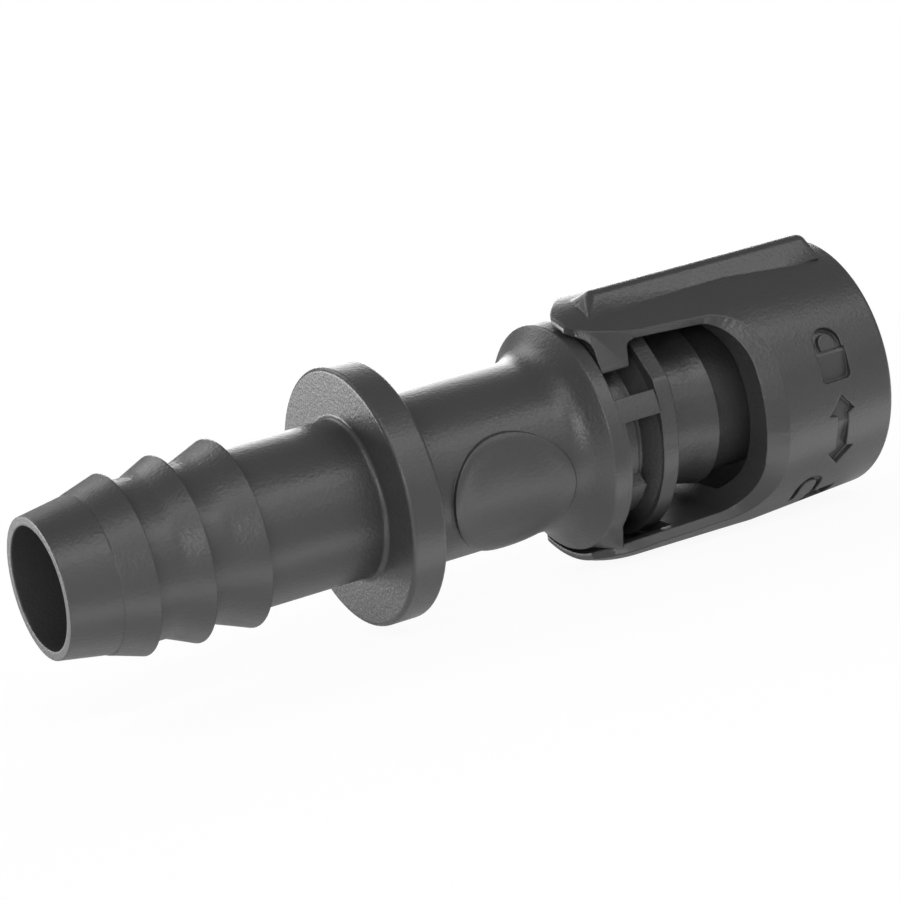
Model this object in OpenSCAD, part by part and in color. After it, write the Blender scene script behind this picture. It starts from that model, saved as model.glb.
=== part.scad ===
// Drip line connector: a barbed end for a 13 mm pipe, and a nozzle with a turning lock collar.
// The flow axis is X, and the origin is the centre of the barbed end's mouth.

/* [Barbed end] */
// Diameter of the waterway through the whole connector
bore_d = 9.62; // [7:0.02:10.4]
// Outer diameter of the mouth of the barbed end
tip_d = 11.02; // [10.6:0.02:11.8]
// Length of the lead cone
lead_len = 4; // [2:0.1:6]
// Diameter where the lead cone meets the first barb
lead_end_d = 12.36; // [11.9:0.02:12.8]
// Diameter of the tube between the barbs
root_d = 12.5; // [11.9:0.02:13]
// Crest diameter of each barb, from the mouth inwards
barb_crest_d = [14.1, 14.6, 14.8]; // [13.4:0.02:15.6]
// Length of the flare of each barb
barb_flare_len = [2.6, 2.4, 3]; // [1.5:0.1:4]
// Plain tube in front of each barb
barb_gap = [0, 2, 1.6]; // [0:0.1:3]

/* [Flange and shank] */
// Diameter of the neck between the barbs and the flange
neck_d = 12.58; // [11.9:0.02:13.4]
// Length of the neck
neck_len = 10.4; // [6:0.1:16]
// Diameter of the flange that stops the pipe
flange_d = 20.6; // [17:0.1:24]
// Thickness of the flange
flange_t = 2.9; // [1.6:0.1:4]
// Rounding of the flange's edges
flange_round = 0.35; // [0.1:0.05:0.7]
// Fillet at the foot of the flange
flange_fillet = 0.4; // [0.1:0.05:0.8]
// Diameter of the plain shank
shank_d = 13.8; // [13:0.1:15]
// Length of the plain shank
shank_len = 12.63; // [12.5:0.01:15]

/* [Bell and rings] */
// Radius of the curve from the shank into the bell
bell_r = 2.9; // [2:0.05:3.4]
// Slope of the bell where it meets the stop ring
bell_slope = 52; // [40:1:58]
// Diameter of the stop ring
stop_ring_d = 18.6; // [18:0.05:18.8]
// Thickness of the stop ring
stop_ring_t = 1.2; // [0.8:0.05:1.6]
// Rounding of the stop ring's rim towards the bell
stop_ring_round = 0.3; // [0.1:0.05:0.4]
// How much thicker the stop ring is below the stop bar
stop_ring_step = 0.35; // [0.1:0.05:0.4]
// Diameter of the floor of the latch groove
groove_d = 13.2; // [12.8:0.1:13.6]
// Width of the latch groove
groove_w = 3.9; // [3.6:0.05:5]
// Diameter of the ledge in the groove, next to the stop ring
ledge_d = 13.8; // [13.6:0.1:14.4]
// Width of the ledge
ledge_w = 2.55; // [1.5:0.05:2.8]
// Diameter of the cam ring where it is lowest
cam_ring_d = 16.7; // [16.4:0.05:17.2]
// Thickness of the cam ring
cam_ring_t = 1.4; // [1:0.05:2]
// How far the cam ring's near face leans into the groove
cam_ring_lean = 0.95; // [0.3:0.05:1]

/* [Nozzle] */
// Diameter of the nozzle next to the cam ring
seat_d = 12.7; // [12.2:0.02:13.4]
// Length of the nozzle next to the cam ring
seat_len = 3.35; // [2:0.05:4.5]
// Diameter of the nozzle's sealing crest
seal_crest_d = 13.48; // [13.1:0.02:14.2]
// Length of the flare up to the sealing crest
seal_flare_len = 1.7; // [1:0.05:2.4]
// Nozzle diameter behind the sealing crest
nozzle_root_d = 12.4; // [12:0.02:12.8]
// Nozzle diameter at its free end
nozzle_end_d = 12; // [11.6:0.02:12.2]
// Length of the nozzle behind the sealing crest
nozzle_len = 11.3; // [6:0.1:12.4]
// Lead-in chamfer at the nozzle's free end
nozzle_chamfer = 0.6; // [0.2:0.05:0.8]

/* [Bar, nose and lobes] */
// Clock angle of the stop bar, from the top towards the front
bar_clock = 68; // [66:0.5:80]
// Angle that the stop bar spans
bar_span = 12; // [6:0.5:12]
// Gap between the end of the stop bar and the edge of the cam ring
bar_end_gap = 0.25; // [0.1:0.05:0.6]
// Clock angle where the nose starts to rise from the stop ring
nose_start = 131; // [118:0.5:133]
// Clock angle where the nose is at its full height
nose_full = 143; // [138:0.5:144]
// Diameter over the nose
nose_d = 21; // [20.4:0.1:21.3]
// Clock angle of the steep end of the detent lobe
detent_clock = 114.5; // [110:0.5:120]
// Angle that the detent lobe spans
detent_span = 46; // [30:1:56]
// Diameter over the detent lobe
detent_d = 16.2; // [15.6:0.1:16.4]
// Clock angle where a cam starts to rise
cam_rise_clock = 120; // [116:1:130]
// Clock angle where a cam is at its full height
cam_full_clock = 172; // [168:1:176]
// Diameter over the two cams
cam_lobe_d = 18.6; // [17.8:0.1:18.7]
// Clock angle of the knee at the far end of a cam, half a turn on
cam_knee_clock = 57; // [50:1:60]
// Angle of the flat between a cam's full height and its knee
cam_flat_span = 33; // [20:1:40]
// Angle over which a cam falls off past its knee
cam_fall_span = 35; // [20:1:40]

/* [Badge dish] */
// Height of the dish's rim over the shank
dish_rise = 0.35; // [0.15:0.05:0.5]
// Depth of the dish below the rim
dish_depth = 0.55; // [0.3:0.05:0.7]
// Width of the dish's rim
dish_rim_w = 0.3; // [0.2:0.05:0.6]
// Half length of the dish along its long axis
dish_long = 5.5; // [4.6:0.05:5.6]
// Half length of the dish along its short axis
dish_short = 4.9; // [4:0.05:5.1]
// Turn of the dish's long axis
dish_turn = -18; // [-40:1:40]
// Distance from the flange to the dish's centre
dish_from_flange = 7.97; // [6.6:0.01:8.2]
// Height of the dish's centre against the axis
dish_drop = -1.3; // [-2:0.1:1]

/* [Collar] */
// Wall of the collar at its widest, over the rings
arm_wall = 1.3; // [1.1:0.05:1.9]
// Wall at the tips of the arms
tip_wall = 0.65; // [0.5:0.05:1]
// Wall of the collar's open end, round the bore
end_wall = 2.6; // [2:0.05:3]
// Length from the arms' tips to the collar's widest place
arm_side_len = 14.8; // [9:0.1:17]
// Length from the collar's widest place to its open end
open_side_len = 10.8; // [8:0.1:18]
// Distance over which the arms' tips curve in
tip_curve_len = 4.2; // [2:0.1:6]
// Distance from the stop ring's near face to the arms' tips
tip_overhang = 0.35; // [0.1:0.05:0.6]
// Rounding of the arms' tips and of the open end's rim
rim_round = 0.4; // [0.1:0.05:0.5]
// Diameter of the collar's bore, which holds the pipe
collar_bore_d = 15.5; // [15:0.05:16.4]
// Chamfer at the mouth of the collar's bore
mouth_chamfer = 0.8; // [0.3:0.05:1.4]
// Running clearance between the collar and the rings
ring_clearance = 0.3; // [0.15:0.05:0.35]
// How far the upper arm's rear corner is cut back along the axis
corner_cut_len = 5.2; // [1:0.1:5.6]
// Width of that cut across the arm
corner_cut_w = 7.5; // [4:0.1:9]
// Distance from the collar's middle plane to the start of that cut
corner_cut_from = 1.5; // [0:0.1:3]

/* [Windows] */
// Half height of the windows between the arms
window_half_h = 8; // [7.2:0.05:8.2]
// How much the half height shrinks towards the windows' end
window_draft = 0.2; // [0:0.05:0.5]
// Distance from the cam ring to the windows' end wall
window_past_cam = 7.2; // [6.2:0.05:7.4]
// Corner radius of the windows along the axis
corner_along = 2.9; // [1.5:0.1:4]
// Corner radius of the windows across the axis
corner_across = 3.8; // [2:0.1:5]
// Radius of the arms' edges towards their tips
tip_flare_r = 20; // [16:0.5:30]
// Depth of the windows' bevel below the collar's surface
bevel_depth = 0.77; // [0.4:0.01:1]
// Width of the bevel along the arms
bevel_side_w = 0.68; // [0.3:0.02:1]
// Width of the bevel at the windows' end wall
bevel_end_w = 1.6; // [0.8:0.05:2]

/* [Hooks and grips] */
// Distance from the axis to a hook's lower face
hook_low = 6; // [5.6:0.05:6.6]
// Distance from the axis to a hook's side face
hook_side = 6.2; // [5.8:0.05:6.4]
// Width of a hook's root across the arm
hook_depth = 3.7; // [2.5:0.05:4.2]
// Play of the hooks against the stop ring
hook_play = 0.35; // [0.15:0.05:0.5]
// Length of a hook along the axis
hook_len = 2.55; // [1.8:0.05:2.7]
// Clearance between the hooks and the ledge in the groove
hook_clearance = 0.35; // [0.2:0.05:0.6]
// Fillet between a hook and its arm
hook_fillet = 0.7; // [0.2:0.05:0.9]
// Height of a grip's crest over the collar
grip_rise = 0.75; // [0.4:0.05:1.4]
// Rounding of a grip's crest
grip_round = 1; // [0.6:0.05:1.3]
// Distance from the collar's middle plane to a grip's crest
grip_offset = 2.3; // [1.8:0.05:2.8]
// Distance from the collar's middle plane to a grip's steep foot
grip_foot = 4.1; // [3.9:0.05:5]
// Distance from the arm's tip to a grip's foot
grip_from_tip = 1.9; // [1.6:0.1:4]
// Length of a grip's slope at the arm's tip
grip_ramp = 1.6; // [1:0.1:4]
// Length of a grip's slope at the open end
grip_run_out = 1; // [0.6:0.1:3]
// Distance from the collar's open end to a grip's foot
grip_from_end = 1.6; // [1:0.1:4]

/* [Pose] */
// Roll at which the connector comes to rest on a flat surface
lie_roll = 11.7; // [0:0.1:24]

/* [Hidden] */
$fn = 96;
hull_fn = 32;
arc_steps = 8;
dish_steps = 60;
rim_edge = 0.1;
cut = 1;
body_grey = [0.25, 0.25, 0.26];
collar_grey = [0.29, 0.29, 0.3];
both_sides = [0, 180];

// Stations along the axis, each from the one before it
function sum_to(list, last) = last < 0 ? 0 : list[last] + sum_to(list, last - 1);
function barb_end(i) = lead_len + sum_to(barb_gap, i) + sum_to(barb_flare_len, i);
last_barb = len(barb_crest_d) - 1;
flange_s = barb_end(last_barb) + neck_len;
flange_end_s = flange_s + flange_t;
bell_s = flange_end_s + shank_len;
bell_end_s = bell_s + bell_r * sin(bell_slope);
bell_end_r = shank_d / 2 + bell_r * (1 - cos(bell_slope));
stop_ring_r = stop_ring_d / 2 - rim_edge;
stop_ring_s = bell_end_s + (stop_ring_r - stop_ring_round * (1 - cos(bell_slope)) - bell_end_r) / tan(bell_slope);
groove_s = stop_ring_s + stop_ring_t;
cam_ring_s = groove_s + groove_w;
cam_ring_end_s = cam_ring_s + cam_ring_t;
seat_end_s = cam_ring_end_s + seat_len;
seal_end_s = seat_end_s + seal_flare_len;
nozzle_end_s = seal_end_s + nozzle_len;
arm_tip_s = stop_ring_s + tip_overhang;
widest_s = arm_tip_s + arm_side_len;
collar_end_s = widest_s + open_side_len;
window_end_s = cam_ring_end_s + window_past_cam;
relief_d = max(stop_ring_d, cam_lobe_d) + 2 * ring_clearance;
relief_end_s = cam_ring_end_s + ring_clearance;
collar_d = relief_d + 2 * arm_wall;
arm_tip_d = relief_d + 2 * tip_wall;
collar_end_d = collar_bore_d + 2 * end_wall;
hook_s = groove_s + hook_play;
hook_end_s = hook_s + hook_len;
dish_s = flange_end_s + dish_from_flange;

// An arc in the plane of the radius and the station
function arc(centre, r, from, to) =
    [for (i = [0 : arc_steps]) let (a = from + (to - from) * i / arc_steps)
        centre + r * [cos(a), sin(a)]];
function ease(u) = (1 - cos(180 * u)) / 2;
function mix(a, b, u) = a + (b - a) * u;
function polar(r, clock) = [r * cos(clock), r * sin(clock)];

// Lays a shape drawn around Z along X, with its X upwards and its Y towards the front
module along_axis(s = 0) translate([s, 0, 0]) rotate([0, 90, 0]) rotate(180) children();

// Lays an outline drawn in station and height in the upright plane, raised towards the front
module facing_front() rotate([90, 0, 0]) children();

// One barb: a long flare and a square back
function barb(i) = [
    [root_d / 2, barb_end(i) - barb_flare_len[i]],
    [barb_crest_d[i] / 2, barb_end(i)],
    [i == last_barb ? neck_d / 2 : root_d / 2, barb_end(i)]
];

function flange_outline() = concat(
    arc([neck_d / 2 + flange_fillet, flange_s - flange_fillet], flange_fillet, 180, 90),
    arc([flange_d / 2 - flange_round, flange_s + flange_round], flange_round, -90, 0),
    arc([flange_d / 2 - flange_round, flange_end_s - flange_round], flange_round, 0, 90),
    arc([shank_d / 2 + flange_fillet, flange_end_s + flange_fillet], flange_fillet, -90, -180)
);

function bell_outline() = concat(
    arc([shank_d / 2 + bell_r, bell_s], bell_r, 180, 180 - bell_slope),
    arc([stop_ring_r - stop_ring_round, stop_ring_s + stop_ring_round * sin(bell_slope)],
        stop_ring_round, -bell_slope, 0)
);

function groove_outline() = [
    [stop_ring_d / 2, groove_s],
    [groove_d / 2, groove_s],
    [groove_d / 2, cam_ring_s - cam_ring_lean],
    [cam_ring_d / 2 - 2 * rim_edge, cam_ring_s],
    [cam_ring_d / 2 - 2 * rim_edge, cam_ring_end_s]
];

function nozzle_outline() = [
    [seat_d / 2, cam_ring_end_s],
    [seat_d / 2, seat_end_s],
    [seal_crest_d / 2, seal_end_s],
    [nozzle_root_d / 2, seal_end_s],
    [nozzle_end_d / 2, nozzle_end_s - nozzle_chamfer],
    [nozzle_end_d / 2 - nozzle_chamfer / 2, nozzle_end_s],
    [0, nozzle_end_s]
];

module tube_form() along_axis() rotate_extrude() polygon(concat(
    [[0, 0], [tip_d / 2, 0], [lead_end_d / 2, lead_len]],
    [for (i = [0 : last_barb]) each barb(i)],
    flange_outline(),
    bell_outline(),
    groove_outline(),
    nozzle_outline()
));

// The sector between two clock angles, out to a radius
function sector(r, from, to) = concat([[0, 0]], arc([0, 0], r, from, to));

// A bar across the groove that the hook meets when the collar is fully turned
module stop_bar() along_axis(groove_s - rim_edge) linear_extrude(groove_w - bar_end_gap + rim_edge)
    polygon(sector(stop_ring_d / 2 - rim_edge / 4, bar_clock - bar_span / 2, bar_clock + bar_span / 2));

// The thicker part of the stop ring, from the stop bar down to the arm
module ring_step() along_axis(groove_s - rim_edge) linear_extrude(stop_ring_step + rim_edge)
    polygon(sector(stop_ring_d / 2 - rim_edge / 4, bar_clock, nose_start + bar_span));

// A ramp on the stop ring that ends where the closed collar's arm stands
module nose() intersection() {
    along_axis(stop_ring_s + rim_edge) linear_extrude(stop_ring_t - rim_edge + stop_ring_step) intersection() {
        polygon(concat(
            [polar(bell_end_r, nose_start), polar(stop_ring_r - 2 * rim_edge, nose_start)],
            arc([0, 0], nose_d / 2, nose_full, nose_full + 2 * bar_span),
            [polar(bell_end_r, nose_full + 2 * bar_span)]
        ));
        translate([-tip_half_h + ring_clearance, 0]) square([2 * tip_half_h, nose_d]);
    }
    along_axis(stop_ring_s) cylinder(
        r1 = stop_ring_r - 2 * rim_edge, r2 = nose_d / 2 + 2 * rim_edge, h = stop_ring_t + 2 * stop_ring_step);
}

// A ledge on the floor of the groove, below the stop bar
module ledge() along_axis(groove_s - rim_edge) linear_extrude(ledge_w + rim_edge)
    polygon(sector(ledge_d / 2, bar_clock, detent_clock + detent_span + bar_span));

// A lobe on the ledge, steep at its upper end
module detent_lobe() along_axis(groove_s - rim_edge) linear_extrude(ledge_w + rim_edge) polygon([
    polar(groove_d / 2 - 2 * rim_edge, detent_clock - 4),
    polar(ledge_d / 2 + rim_edge / 2, detent_clock - 3.5),
    polar(detent_d / 2, detent_clock),
    polar(mix(detent_d, ledge_d, 0.1) / 2, detent_clock + detent_span / 5),
    polar(mix(detent_d, ledge_d, 0.28) / 2, detent_clock + detent_span / 2),
    polar(mix(detent_d, ledge_d, 0.5) / 2, detent_clock + detent_span * 0.8),
    polar(groove_d / 2 - 2 * rim_edge, detent_clock + detent_span)
]);

// Radius of the cam ring at a clock angle within half a turn
cam_flat_r = cam_lobe_d / 2 - rim_edge;
function cam_r(clock) = lookup(clock, [
    [cam_full_clock - 180, cam_lobe_d / 2],
    [cam_knee_clock - cam_flat_span, cam_lobe_d / 2],
    [cam_knee_clock, cam_flat_r],
    [cam_knee_clock + cam_fall_span / 2, mix(cam_flat_r, cam_ring_d / 2, 0.6)],
    [cam_knee_clock + cam_fall_span, cam_ring_d / 2],
    [cam_rise_clock, cam_ring_d / 2],
    [mix(cam_rise_clock, cam_full_clock, 0.5), mix(cam_ring_d, cam_lobe_d, 0.4) / 2],
    [cam_full_clock, cam_lobe_d / 2]
]);

// The ring that the hooks ride behind, with two flat-topped cams half a turn apart
module cam_ring() along_axis(cam_ring_s) linear_extrude(cam_ring_t) polygon([
    for (turn = both_sides) for (clock = concat(
        [for (c = [cam_full_clock - 180 : 4 : cam_knee_clock - cam_flat_span]) c],
        [for (c = [cam_knee_clock : 2.5 : cam_full_clock - 2]) c]))
        polar(cam_r(clock), clock + turn)]);

// A closed skin through rings of points, the last ring seen clockwise from its own end
module loft(rings) {
    n = len(rings[0]);
    last = len(rings) - 1;
    function middle(ring) = [for (axis = [0 : 2]) sum_to([for (p = ring) p[axis]], n - 1) / n];
    polyhedron(
        points = concat([for (ring = rings) each ring], [middle(rings[0]), middle(rings[last])]),
        faces = concat(
            [for (i = [0 : n - 1]) [(i + 1) % n, i, len(rings) * n]],
            [for (k = [0 : last - 1]) for (i = [0 : n - 1]) let (j = (i + 1) % n)
                each [[k * n + i, k * n + j, (k + 1) * n + i], [k * n + j, (k + 1) * n + j, (k + 1) * n + i]]],
            [for (i = [0 : n - 1]) [last * n + i, last * n + (i + 1) % n, len(rings) * n + 1]]
        )
    );
}

// A point of an upright outline, moved forward onto a cylinder round the axis
function on_front(point, r) = [point[0], -sqrt(max(r * r - point[1] * point[1], 1)), point[1]];

// The dish on the front of the shank, with a raised rim and a plain shallow bowl
function dish_outline(inset) = [for (i = [0 : dish_steps - 1])
    let (a = -360 * i / dish_steps, u = (dish_long - inset) * cos(a), v = (dish_short - inset) * sin(a))
        [dish_s + u * cos(dish_turn) - v * sin(dish_turn), dish_drop + u * sin(dish_turn) + v * cos(dish_turn)]];
dish_top_r = shank_d / 2 + dish_rise;
function dish_ring(inset, depth) = [for (p = dish_outline(inset)) on_front(p, dish_top_r - depth)];

module dish_rim() intersection() {
    facing_front() linear_extrude(shank_d) polygon(dish_outline(0));
    along_axis(flange_end_s - rim_edge) cylinder(r = dish_top_r, h = stop_ring_s - flange_end_s);
}

module dish_bowl() loft([
    dish_ring(dish_short * 0.55, dish_depth),
    dish_ring(dish_short * 0.36, dish_depth * 0.82),
    dish_ring(dish_short * 0.18, dish_depth * 0.36),
    dish_ring(dish_rim_w, -rim_edge / 2),
    [for (p = dish_outline(dish_rim_w)) [p[0], -shank_d, p[1]]]
]);

// The one-piece moulded body
module connector_body() color(body_grey) rotate([lie_roll, 0, 0]) difference() {
    union() {
        tube_form();
        cam_ring();
        for (turn = both_sides) rotate([turn, 0, 0]) {
            stop_bar();
            ring_step();
            ledge();
            detent_lobe();
        }
        nose();
        dish_rim();
    }
    dish_bowl();
    along_axis(-cut) cylinder(d = bore_d, h = nozzle_end_s + 2 * cut);
}

// Outer radius of the collar at a station
function collar_r(s) = lookup(s, [
    [arm_tip_s, arm_tip_d / 2],
    [arm_tip_s + tip_curve_len / 3, mix(arm_tip_d, collar_d, 0.6) / 2],
    [arm_tip_s + tip_curve_len, mix(arm_tip_d, collar_d, 0.85) / 2],
    [widest_s, collar_d / 2],
    [collar_end_s, collar_end_d / 2]
]);

function tip_curve(u) = [collar_r(arm_tip_s + tip_curve_len)
    - (collar_r(arm_tip_s + tip_curve_len) - arm_tip_d / 2) * pow(1 - u, 2.4),
    arm_tip_s + rim_round + u * (tip_curve_len - rim_round)];

module collar_form() along_axis() rotate_extrude() polygon(concat(
    [[0, arm_tip_s], [arm_tip_d / 2 - rim_round, arm_tip_s]],
    arc([arm_tip_d / 2 - rim_round, arm_tip_s + rim_round], rim_round, -90, 0),
    [for (i = [1 : arc_steps]) tip_curve(i / arc_steps)],
    [[collar_d / 2, widest_s]],
    arc([collar_end_d / 2 - rim_round, collar_end_s - rim_round], rim_round, 0, 90),
    [[0, collar_end_s]]
));

// Half of a window's outline in station and height, from the arm's tip to the end wall
flare_end_s = relief_end_s - 1.5 * ring_clearance;
tip_half_h = window_half_h + tip_flare_r * (1 - cos(asin((flare_end_s - groove_s) / tip_flare_r)));
function half_window() = concat(
    [for (i = [0 : arc_steps]) let (a = tip_flare_angle * (1 - i / arc_steps))
        [flare_end_s - tip_flare_r * sin(a), window_half_h + tip_flare_r * (1 - cos(a))]],
    [for (i = [0 : corner_steps]) let (a = 90 - 90 * i / corner_steps)
        [window_end_s - corner_along * (1 - cos(a)), end_wall_half_h + corner_across * sin(a)]],
    [for (u = [0.66, 0.33]) [window_end_s, u * end_wall_half_h]]
);
corner_steps = 12;
end_wall_half_h = window_half_h - window_draft - corner_across;
tip_flare_angle = asin((flare_end_s - arm_tip_s + rim_round) / tip_flare_r);
function mirrored(points) = [for (i = [len(points) - 1 : -1 : 0]) [points[i][0], -points[i][1]]];
window_outline = concat(half_window(), [[window_end_s, 0]], mirrored(half_window()));
corners = len(window_outline);

// The bevel round a window: each point of the outline moves out to the collar's surface
function step_at(i) = window_outline[min(i + 1, corners - 1)] - window_outline[max(i - 1, 0)];
function outward(i) = let (step = step_at(i)) [-step[1], step[0]] / norm(step);
function bevel_w(i) = let (along = outward(i)[0])
    along < 0 ? bevel_side_w : mix(bevel_side_w, bevel_end_w, along * along);
function bevel_inner(i) = on_front(window_outline[i], collar_r(window_outline[i][0]) - bevel_depth);
function bevel_outer(i) = let (point = window_outline[i] + outward(i) * bevel_w(i))
    on_front(point, collar_r(point[0]));
function bevel_ring(reach) = [for (i = [0 : corners - 1])
    bevel_inner(i) + (bevel_outer(i) - bevel_inner(i)) * reach];
window_middle = [(arm_tip_s + window_end_s) / 2, 0, 0];
function flat_ring(y, grow) = [for (p = bevel_ring(0))
    let (q = window_middle + (p - window_middle) * grow) [q[0], y, q[2]]];

module window_bevel()
    loft([flat_ring(-hook_low / 2, 0.4), bevel_ring(-0.4), bevel_ring(1.6), flat_ring(-collar_d, 1.5)]);

// The opening between the arms, straight through from front to back
module window_cut() facing_front() translate([0, 0, -collar_d]) linear_extrude(2 * collar_d)
    polygon(window_outline);

// The upper arm's rear corner, cut back in a curve
module corner_cut() linear_extrude(collar_d) polygon(concat(
    [for (i = [0 : 2 * arc_steps]) let (u = i / (2 * arc_steps))
        [arm_tip_s + corner_cut_len * pow(sin(90 * u), 1.3), u * corner_cut_w - corner_cut_from]],
    [[arm_tip_s + corner_cut_len, collar_d], [arm_tip_s - cut, collar_d], [arm_tip_s - cut, -corner_cut_from]]
));

// A hook under an arm's front edge that reaches into the groove and holds the collar on
function arm_edge(s) = window_half_h + tip_flare_r * (1 - cos(asin((flare_end_s - s) / tip_flare_r)));
function hook_section(s, low) = let (
    edge = on_front([s, arm_edge(s) + bevel_side_w], collar_r(s) - rim_edge),
    share = (edge[2] - low) / (edge[2] - hook_low)
) [
    edge,
    [s, hook_depth - hook_side, relief_d / 2 + rim_edge],
    [s, hook_depth - hook_side, low],
    [s, mix(edge[1], -hook_side, share), low]
];
function hook_root(s, drop) = hook_section(s, arm_edge(s) - drop);

module hook() difference() {
    loft([
        hook_root(hook_s - hook_fillet, 0),
        hook_root(hook_s - hook_fillet * 0.5, hook_fillet * 0.13),
        hook_root(hook_s - hook_fillet * 0.13, hook_fillet * 0.5),
        hook_root(hook_s - rim_edge / 2, hook_fillet),
        hook_section(hook_s, hook_low),
        hook_section(hook_end_s, hook_low),
        hook_root(hook_end_s + rim_edge / 2, hook_fillet),
        hook_root(hook_end_s + hook_fillet * 0.13, hook_fillet * 0.5),
        hook_root(hook_end_s + hook_fillet * 0.5, hook_fillet * 0.13),
        hook_root(hook_end_s + hook_fillet, 0)
    ]);
    along_axis(arm_tip_s - cut) cylinder(d = relief_d, h = hook_s + rim_edge / 4 - arm_tip_s + cut);
    along_axis(arm_tip_s - cut) cylinder(d = ledge_d + 2 * hook_clearance, h = 2 * arm_side_len);
}

// A finger grip on the front half of an arm: steep in front, sloping at the back
module grip() hull() {
    for (s = [arm_tip_s + grip_from_tip + grip_ramp, collar_end_s - grip_from_end - grip_run_out])
        translate([s, -grip_offset, collar_d / 2 + grip_rise - grip_round]) sphere(grip_round, $fn = hull_fn);
    translate([arm_tip_s + grip_from_tip, -grip_foot, relief_d / 2 + rim_edge])
        cube([grip_len, grip_foot + grip_round / 2, rim_edge]);
}
grip_len = collar_end_s - grip_from_end - arm_tip_s - grip_from_tip;

// The one-piece moulded collar
module lock_collar() color(collar_grey) rotate([lie_roll, 0, 0]) union() {
    difference() {
        union() {
            collar_form();
            for (turn = both_sides) rotate([turn, 0, 0]) grip();
        }
        window_cut();
        corner_cut();
        for (turn = both_sides) rotate([turn, 0, 0]) window_bevel();
        along_axis(arm_tip_s - cut) cylinder(d = relief_d, h = relief_end_s - arm_tip_s + cut);
        along_axis(window_end_s - cut) cylinder(d = collar_bore_d, h = collar_end_s - window_end_s + 2 * cut);
        along_axis(collar_end_s - mouth_chamfer)
            cylinder(d1 = collar_bore_d, d2 = collar_bore_d + 2 * mouth_chamfer + 2 * rim_edge, h = mouth_chamfer + rim_edge);
    }
    for (turn = both_sides) rotate([turn, 0, 0]) hook();
}

connector_body();
lock_collar();
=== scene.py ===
import math

import bmesh
import bpy
from mathutils import Matrix, Vector


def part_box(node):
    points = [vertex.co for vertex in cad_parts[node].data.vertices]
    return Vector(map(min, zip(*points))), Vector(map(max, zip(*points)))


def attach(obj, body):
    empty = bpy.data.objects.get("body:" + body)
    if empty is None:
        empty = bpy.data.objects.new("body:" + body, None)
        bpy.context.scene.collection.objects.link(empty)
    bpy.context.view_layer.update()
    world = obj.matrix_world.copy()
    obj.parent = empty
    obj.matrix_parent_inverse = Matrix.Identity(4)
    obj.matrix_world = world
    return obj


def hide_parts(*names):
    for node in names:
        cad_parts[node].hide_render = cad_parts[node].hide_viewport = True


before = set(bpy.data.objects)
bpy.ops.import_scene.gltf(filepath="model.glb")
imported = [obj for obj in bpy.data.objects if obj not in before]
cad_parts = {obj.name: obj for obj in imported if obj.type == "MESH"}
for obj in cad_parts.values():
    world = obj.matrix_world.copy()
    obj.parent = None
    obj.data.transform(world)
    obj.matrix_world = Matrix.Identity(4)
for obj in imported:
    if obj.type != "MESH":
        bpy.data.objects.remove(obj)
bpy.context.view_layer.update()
scene = bpy.context.scene
scene.view_settings.view_transform = "Standard"

# Camera: a long lens that stands left of the connector and a little above it.
# The connector rises to the right in the picture, so the camera is rolled about its own line of sight.
photo_eye = Vector((-0.08366, -0.23448, 0.02991))
photo_look = Vector((0.45064, 0.88616, -0.10789)).normalized()
photo_up = Vector((0.24934, -0.0089, 0.96838))
photo_lens_mm = 135.6
photo_sensor_mm = 36

camera_data = bpy.data.cameras.new("photo_camera")
camera_data.lens = photo_lens_mm
camera_data.sensor_width = photo_sensor_mm
camera_data.clip_start = 0.01
camera_data.clip_end = 20
camera = bpy.data.objects.new("photo_camera", camera_data)
camera_right = photo_look.cross(photo_up).normalized()
camera_up = camera_right.cross(photo_look)
camera.matrix_world = Matrix((camera_right, camera_up, -photo_look)).transposed().to_4x4()
camera.matrix_world.translation = photo_eye
scene.collection.objects.link(camera)
scene.camera = camera

# Studio: a pale table under the connector, and a white surround that the camera sees as plain white.
# The camera sees the table as white too, with a share of its real shading near the connector, so that
# a faint shadow stays there and fades out with distance.
middle_s = 0.036
table_half = 0.9
table_colour = (0.86, 0.86, 0.86, 1)
table_rough = 0.9
shadow_reach = (0.05, 0.16)
shadow_share = 0.07
white = (1, 1, 1, 1)
room_light = 0.35
lowest = min(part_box(node)[0].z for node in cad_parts)

table_mesh = bpy.data.meshes.new("studio_table")
table_mesh.from_pydata(
    [(x * table_half, y * table_half, lowest) for x, y in ((-1, -1), (1, -1), (1, 1), (-1, 1))],
    [],
    [(0, 1, 2, 3)],
)
table = bpy.data.objects.new("studio_table", table_mesh)
scene.collection.objects.link(table)

table_paint = bpy.data.materials.new("studio_table_paint")
table_paint.use_nodes = True
tree = table_paint.node_tree
table_shader = tree.nodes["Principled BSDF"]
table_shader.inputs["Base Color"].default_value = table_colour
table_shader.inputs["Roughness"].default_value = table_rough
lit_white = tree.nodes.new("ShaderNodeEmission")
lit_white.inputs["Strength"].default_value = 1
light_path = tree.nodes.new("ShaderNodeLightPath")
spot = tree.nodes.new("ShaderNodeTexCoord")
reach = tree.nodes.new("ShaderNodeVectorMath")
reach.operation = "DISTANCE"
reach.inputs[1].default_value = (middle_s, 0, lowest)
fade = tree.nodes.new("ShaderNodeMapRange")
fade.interpolation_type = "SMOOTHSTEP"
fade.inputs["From Min"].default_value = shadow_reach[0]
fade.inputs["From Max"].default_value = shadow_reach[1]
fade.inputs["To Min"].default_value = 1 - shadow_share
seen_share = tree.nodes.new("ShaderNodeMath")
seen_share.operation = "MULTIPLY"
table_mix = tree.nodes.new("ShaderNodeMixShader")
tree.links.new(spot.outputs["Object"], reach.inputs[0])
tree.links.new(reach.outputs["Value"], fade.inputs["Value"])
tree.links.new(light_path.outputs["Is Camera Ray"], seen_share.inputs[0])
tree.links.new(fade.outputs["Result"], seen_share.inputs[1])
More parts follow.
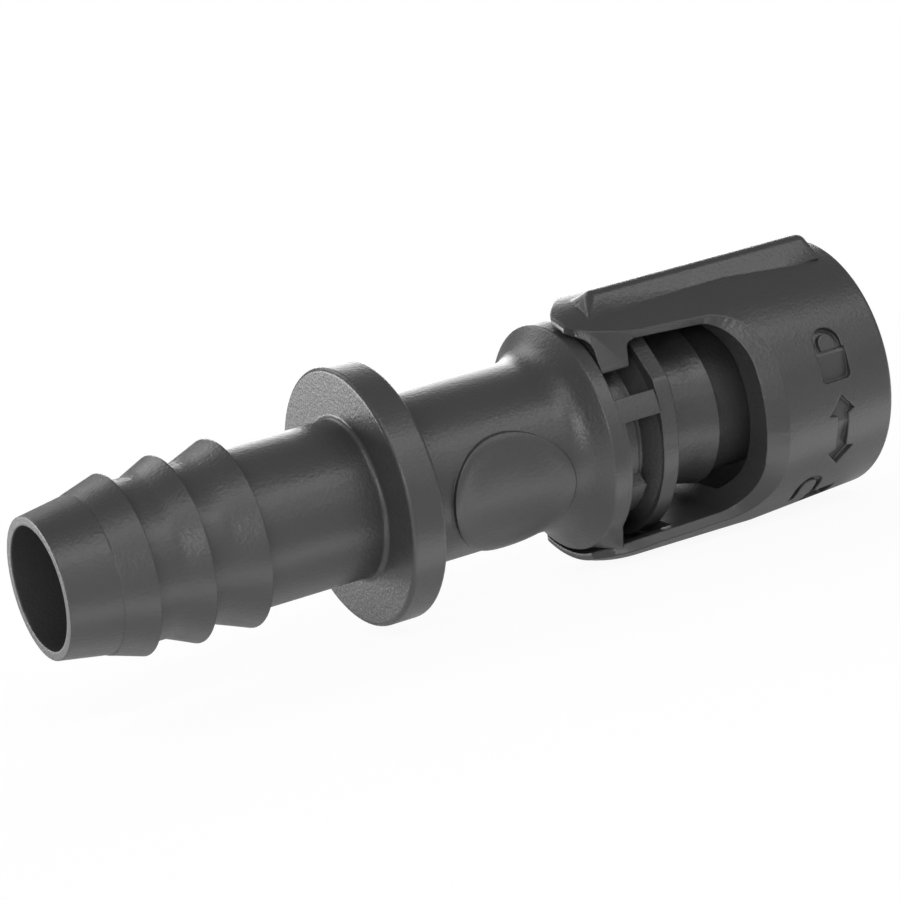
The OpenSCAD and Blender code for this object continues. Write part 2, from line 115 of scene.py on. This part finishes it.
tree.links.new(seen_share.outputs["Value"], table_mix.inputs["Fac"])
tree.links.new(table_shader.outputs["BSDF"], table_mix.inputs[1])
tree.links.new(lit_white.outputs["Emission"], table_mix.inputs[2])
tree.links.new(table_mix.outputs["Shader"], tree.nodes["Material Output"].inputs["Surface"])
table_mesh.materials.append(table_paint)

world = bpy.data.worlds.new("studio_surround")
world.use_nodes = True
scene.world = world
tree = world.node_tree
surround = tree.nodes["Background"]
surround.inputs["Color"].default_value = white
surround.inputs["Strength"].default_value = room_light
seen_white = tree.nodes.new("ShaderNodeBackground")
seen_white.inputs["Color"].default_value = white
seen_white.inputs["Strength"].default_value = 1
light_path = tree.nodes.new("ShaderNodeLightPath")
world_mix = tree.nodes.new("ShaderNodeMixShader")
tree.links.new(light_path.outputs["Is Camera Ray"], world_mix.inputs["Fac"])
tree.links.new(surround.outputs["Background"], world_mix.inputs[1])
tree.links.new(seen_white.outputs["Background"], world_mix.inputs[2])
tree.links.new(world_mix.outputs["Shader"], tree.nodes["World Output"].inputs["Surface"])


# Lamps: soft boxes behind the connector for its bright rims, and a box and long strips in front for the
# upper band of light on its round sides. Two narrow strips lie flat on the table for the lower band.
# Sizes are in metres, powers in watts.
box_distance = 0.5
square = (0.24, 0.24)
strip = (0.5, 0.1)
table_strip_len = 1.8
table_strip_lift = 0.00002


def add_lamp(name, place, way, size, watts):
    """A soft rectangular lamp at a place, which shines against the direction given and isn't seen itself."""
    lamp_data = bpy.data.lights.new(name, "AREA")
    lamp_data.shape = "RECTANGLE"
    lamp_data.size, lamp_data.size_y = size
    lamp_data.energy = watts
    lamp = bpy.data.objects.new(name, lamp_data)
    lamp.location = place
    lamp.rotation_euler = (-way).to_track_quat("-Z", "Y").to_euler()
    lamp.visible_camera = False
    scene.collection.objects.link(lamp)


def soft_box(name, clock, tilt, size, watts):
    """A lamp at a clock angle round the flow axis, 0 above and 90 in front, tilted to the right."""
    turn, lean = math.radians(clock), math.radians(tilt)
    way = Vector((math.sin(lean), -math.sin(turn) * math.cos(lean), math.cos(turn) * math.cos(lean)))
    add_lamp(name, Vector((middle_s, 0, 0)) + way * box_distance, way, size, watts)


def table_strip(name, depth, width, watts):
    """A narrow lamp along the connector that lies on the table at a depth and shines up."""
    place = Vector((middle_s, depth, lowest + table_strip_lift))
    add_lamp(name, place, Vector((0, 0, -1)), (table_strip_len, width), watts)


soft_box("back_top_box", -45, -10, square, 0.59)
soft_box("back_right_box", -68, 30, square, 0.95)
soft_box("back_left_box", -88, -40, square, 2.2)
soft_box("front_left_box", 80, -40, square, 1.0)
soft_box("front_top_strip", 40, -20, strip, 0.7)
soft_box("front_right_strip", 52, 20, strip, 0.67)
soft_box("front_low_strip", 76, 20, strip, 0.32)
table_strip("table_front_strip", -0.0135, 0.007, 0.058)
table_strip("table_under_strip", -0.004, 0.012, 0.019)


# Moulding grain: the very fine texture that the mould leaves on both mouldings, and soft clouds that
# vary their tone and gloss a little. Both plastics use it.
grain_start = {"Grain Scale": 3600.0, "Grain Depth": 0.000035, "Cloud Scale": 90.0}
grain_detail = 3
cloud_detail = 2


def build_grain():
    """The node group for the grain, which also passes on the softened edges that it is given."""
    group = bpy.data.node_groups.new("moulding_grain", "ShaderNodeTree")
    for name, start in grain_start.items():
        socket = group.interface.new_socket(name, in_out="INPUT", socket_type="NodeSocketFloat")
        socket.default_value = start
    group.interface.new_socket("Edge Normal", in_out="INPUT", socket_type="NodeSocketVector")
    group.interface.new_socket("Cloud", in_out="OUTPUT", socket_type="NodeSocketFloat")
    group.interface.new_socket("Normal", in_out="OUTPUT", socket_type="NodeSocketVector")
    entry = group.nodes.new("NodeGroupInput")
    leave = group.nodes.new("NodeGroupOutput")
    place = group.nodes.new("ShaderNodeTexCoord")
    grain = group.nodes.new("ShaderNodeTexNoise")
    grain.inputs["Detail"].default_value = grain_detail
    cloud = group.nodes.new("ShaderNodeTexNoise")
    cloud.inputs["Detail"].default_value = cloud_detail
    bump = group.nodes.new("ShaderNodeBump")
    bump.inputs["Strength"].default_value = 1
    group.links.new(place.outputs["Object"], grain.inputs["Vector"])
    group.links.new(place.outputs["Object"], cloud.inputs["Vector"])
    group.links.new(entry.outputs["Grain Scale"], grain.inputs["Scale"])
    group.links.new(entry.outputs["Cloud Scale"], cloud.inputs["Scale"])
    group.links.new(entry.outputs["Grain Depth"], bump.inputs["Distance"])
    group.links.new(entry.outputs["Edge Normal"], bump.inputs["Normal"])
    group.links.new(grain.outputs["Fac"], bump.inputs["Height"])
    group.links.new(cloud.outputs["Fac"], leave.inputs["Cloud"])
    group.links.new(bump.outputs["Normal"], leave.inputs["Normal"])
    return group


moulding_grain = build_grain()


# Body: one injection moulding in dark grey plastic, with three barbs for the pipe, a flange, a shank
# with a plain dish, the stop ring, the latch groove, the cam ring and the nozzle.
body_dark = (0.026, 0.026, 0.027)
body_light = (0.033, 0.033, 0.034)
sheen_rough = 0.36
sheen_spread = 0.04
edge_radius = 0.0002
edge_samples = 8
weld_gap = 1e-6
sliver = 1e-7
straight_out = 0.985
outline_angle = 10
body_angle = 28
# Each part is two stations, and the angle from which an edge between them is sharp.
ring_round_end = (0.04488, 0.04496, 11)
stop_ring_part = (0.0443, 0.0463, 58)


def moulded_plastic(name, dark, light):
    """Dark grey plastic: two near greys in soft clouds, a satin gloss, fine grain and softened edges."""
    material = bpy.data.materials.new(name)
    material.use_nodes = True
    tree = material.node_tree
    shader = tree.nodes["Principled BSDF"]
    shader.inputs["Specular IOR Level"].default_value = 0.5
    grain = tree.nodes.new("ShaderNodeGroup")
    grain.node_tree = moulding_grain
    edges = tree.nodes.new("ShaderNodeBevel")
    edges.samples = edge_samples
    edges.inputs["Radius"].default_value = edge_radius
    tint = tree.nodes.new("ShaderNodeMix")
    tint.data_type = "RGBA"
    tint.inputs["A"].default_value = (*dark, 1)
    tint.inputs["B"].default_value = (*light, 1)
    gloss = tree.nodes.new("ShaderNodeMapRange")
    gloss.inputs["To Min"].default_value = sheen_rough - sheen_spread
    gloss.inputs["To Max"].default_value = sheen_rough + sheen_spread
    tree.links.new(edges.outputs["Normal"], grain.inputs["Edge Normal"])
    tree.links.new(grain.outputs["Cloud"], tint.inputs["Factor"])
    tree.links.new(grain.outputs["Cloud"], gloss.inputs["Value"])
    tree.links.new(tint.outputs["Result"], shader.inputs["Base Color"])
    tree.links.new(gloss.outputs["Result"], shader.inputs["Roughness"])
    tree.links.new(grain.outputs["Normal"], shader.inputs["Normal"])
    return material


def joined_copy(node, name):
    """A copy of a CAD node with its loose triangles joined and its slivers taken out."""
    copy = bpy.data.objects.new(name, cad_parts[node].data.copy())
    scene.collection.objects.link(copy)
    mesh = bmesh.new()
    mesh.from_mesh(copy.data)
    bmesh.ops.remove_doubles(mesh, verts=mesh.verts, dist=weld_gap)
    bmesh.ops.dissolve_degenerate(mesh, edges=mesh.edges, dist=sliver)
    mesh.to_mesh(copy.data)
    mesh.free()
    return copy


def plain_result(piece, modifier):
    """Keeps what a modifier makes of an object as its plain mesh, and removes the modifier."""
    result = bpy.data.meshes.new_from_object(piece.evaluated_get(bpy.context.evaluated_depsgraph_get()))
    piece.modifiers.remove(modifier)
    piece.data = result


def looks_out(face):
    """Whether a face looks straight away from the flow axis, as the plain outside of a round piece does."""
    middle = face.calc_center_median()
    return face.normal.dot(Vector((0, middle.y, middle.z)).normalized()) > straight_out


def smooth_by_angle(piece, degrees, ranges, bevels=(0, 0)):
    """Shades a finished mesh smooth, and sharp where two faces meet at more than an angle.

    Each range along the axis, given as two stations and an angle, has an angle of its own.
    Between the bevels' two stations, the line between a bevel and the plain outside is sharp too.
    """
    mesh = bmesh.new()
    mesh.from_mesh(piece.data)
    for face in mesh.faces:
        face.smooth = True
    for edge in mesh.edges:
        middle = (edge.verts[0].co.x + edge.verts[1].co.x) / 2
        limit = next((own for low, high, own in ranges if low < middle < high), degrees)
        looks = {looks_out(face) for face in edge.link_faces}
        if bevels[0] < middle < bevels[1] and len(looks) == 2:
            limit = outline_angle
        edge.smooth = len(edge.link_faces) == 2 and edge.calc_face_angle(math.pi) < math.radians(limit)
    mesh.to_mesh(piece.data)
    mesh.free()
    even = piece.modifiers.new("even", "WEIGHTED_NORMAL")
    even.keep_sharp = True
    plain_result(piece, even)


body_plastic = moulded_plastic("body_plastic", body_dark, body_light)
connector_body = joined_copy("connector_body", "connector_moulding")
smooth_by_angle(connector_body, body_angle, (ring_round_end, stop_ring_part))
connector_body.data.materials.clear()
connector_body.data.materials.append(body_plastic)
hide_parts("connector_body")
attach(connector_body, "body")


# Collar: a second moulding that turns on the body. Two arms with hooks and finger grips reach back over
# the rings. A closed padlock, an arrow with two heads and an open padlock are sunk into its side, with
# outlines in metres along the axis and degrees up from the front, and with flat facets for floors.
collar_dark = (0.024, 0.024, 0.025)
collar_light = (0.031, 0.031, 0.032)
collar_angle = 20
arm_part = (0.0455, 0.0515, 47)
window_part = (0.0515, 0.064, 40)
lie_roll = math.radians(11.7)
collar_r = 0.01065
degrees_per_metre = 1 / math.radians(1) / collar_r
floor_fold_degrees = [82, 51, 20, -11, -42, -73, -104]
floor_ends = ((0.060, 0.01062), (0.069, 0.0103))
cutter_r = (0.009, 0.0122)
shackle_stroke = 0.00055
shackle_steps = 12
case_corner = 0.0004
case_corner_steps = 4
bend_degrees = 2
half_turns = (False, True)


def on_side(s, degrees, r, half_turn):
    """A point at a station, an angle up from the front and a radius, on the collar as it lies at rest."""
    angle = math.radians(degrees) + (math.pi if half_turn else 0)
    across = Vector((0, -r * math.cos(angle), r * math.sin(angle)))
    return Vector((s, 0, 0)) + Matrix.Rotation(lie_roll, 3, "X") @ across


def prism(mesh, low_ring, high_ring):
    """Adds a closed solid between two rings of the same number of points to a bmesh."""
    low = [mesh.verts.new(point) for point in low_ring]
    high = [mesh.verts.new(point) for point in high_ring]
    for i in range(len(low)):
        j = (i + 1) % len(low)
        mesh.faces.new((low[i], low[j], high[j], high[i]))
    mesh.faces.new(low[::-1])
    mesh.faces.new(high)


def solid_of(name, rings):
    """A helper object made of one closed solid for each pair of rings."""
    mesh = bmesh.new()
    for low_ring, high_ring in rings:
        prism(mesh, low_ring, high_ring)
    bmesh.ops.triangulate(mesh, faces=mesh.faces[:])
    bmesh.ops.recalc_face_normals(mesh, faces=mesh.faces[:])
    data = bpy.data.meshes.new(name)
    mesh.to_mesh(data)
    mesh.free()
    helper = bpy.data.objects.new(name, data)
    scene.collection.objects.link(helper)
    return helper


def carve(piece, cutter):
    """Cuts one object out of another, keeps the plain mesh and removes the cutter."""
    cut = piece.modifiers.new("cut", "BOOLEAN")
    cut.operation = "DIFFERENCE"
    cut.solver = "EXACT"
    cut.object = cutter
    plain_result(piece, cut)
    bpy.data.objects.remove(cutter)


def shackle(left, right, top, left_foot, right_foot):
    """A padlock's shackle: a band with a round top and two legs that end at given angles."""
    middle = (left + right) / 2
    points = []
    for inset, steps in ((0, range(shackle_steps + 1)), (shackle_stroke, range(shackle_steps, -1, -1))):
        reach = (right - left) / 2 - inset
        centre = top - (right - left) / 2 * degrees_per_metre
        arc = [(middle - reach * math.cos(math.pi * i / shackle_steps),
                centre + reach * math.sin(math.pi * i / shackle_steps) * degrees_per_metre) for i in steps]
        left_leg, right_leg = (middle - reach, left_foot), (middle + reach, right_foot)
        points += [left_leg, *arc, right_leg] if inset == 0 else [right_leg, *arc, left_leg]
    return points


def lock_case(left, right, top, bottom):
    """A padlock's case: a rectangle with two rounded lower corners."""
    points = [(left, top), (right, top)]
    for centre, start in ((right - case_corner, 0), (left + case_corner, 90)):
        for i in range(case_corner_steps + 1):
            angle = math.radians(start + 90 / case_corner_steps * i)
            points.append((centre + case_corner * math.cos(angle),
                           bottom + case_corner * (1 - math.sin(angle)) * degrees_per_metre))
    return points


def finer(points):
    """The same outline with more points between its corners, so that it bends with the collar."""
    result = []
    for (s0, a0), (s1, a1) in zip(points, points[1:] + points[:1]):
        count = max(1, math.ceil(abs(a1 - a0) / bend_degrees))
        result += [(s0 + (s1 - s0) * i / count, a0 + (a1 - a0) * i / count) for i in range(count)]
    return result


arrow = [
    (0.06534, 1.9), (0.0666, -5.8), (0.06597, -7.4), (0.06597, -23.6), (0.0668, -24.7),
    (0.0654, -33.3), (0.0641, -25), (0.06487, -24), (0.06485, -7.7), (0.0640, -6.8),
]
sign_layers = [
    [lock_case(0.06375, 0.0666, 22, 8), arrow, lock_case(0.0638, 0.0667, -52, -66)],
    [shackle(0.06375, 0.0664, 32, 21.4, 21.4), shackle(0.0619, 0.06455, -36.5, -53, -52.6)],
]

collar_plastic = moulded_plastic("collar_plastic", collar_dark, collar_light)
lock_collar = joined_copy("lock_collar", "lock_collar_moulding")
for layer, outlines in enumerate(sign_layers):
    cutters = [
        [[on_side(s, a, r, half_turn) for s, a in finer(outline)] for r in cutter_r]
        for outline in outlines for half_turn in half_turns
    ]
    cutter = solid_of(f"sign_cutter_{layer}", cutters)
    core = [
        [[on_side(s, a, r, half_turn) for a in floor_fold_degrees] + [Vector((s, 0, 0))]
         for s, r in floor_ends]
        for half_turn in half_turns
    ]
    carve(cutter, solid_of("sign_floor", core))
    carve(lock_collar, cutter)

smooth_by_angle(lock_collar, collar_angle, (arm_part, window_part), window_part[:2])
lock_collar.data.materials.clear()
lock_collar.data.materials.append(collar_plastic)
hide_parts("lock_collar")
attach(lock_collar, "collar")
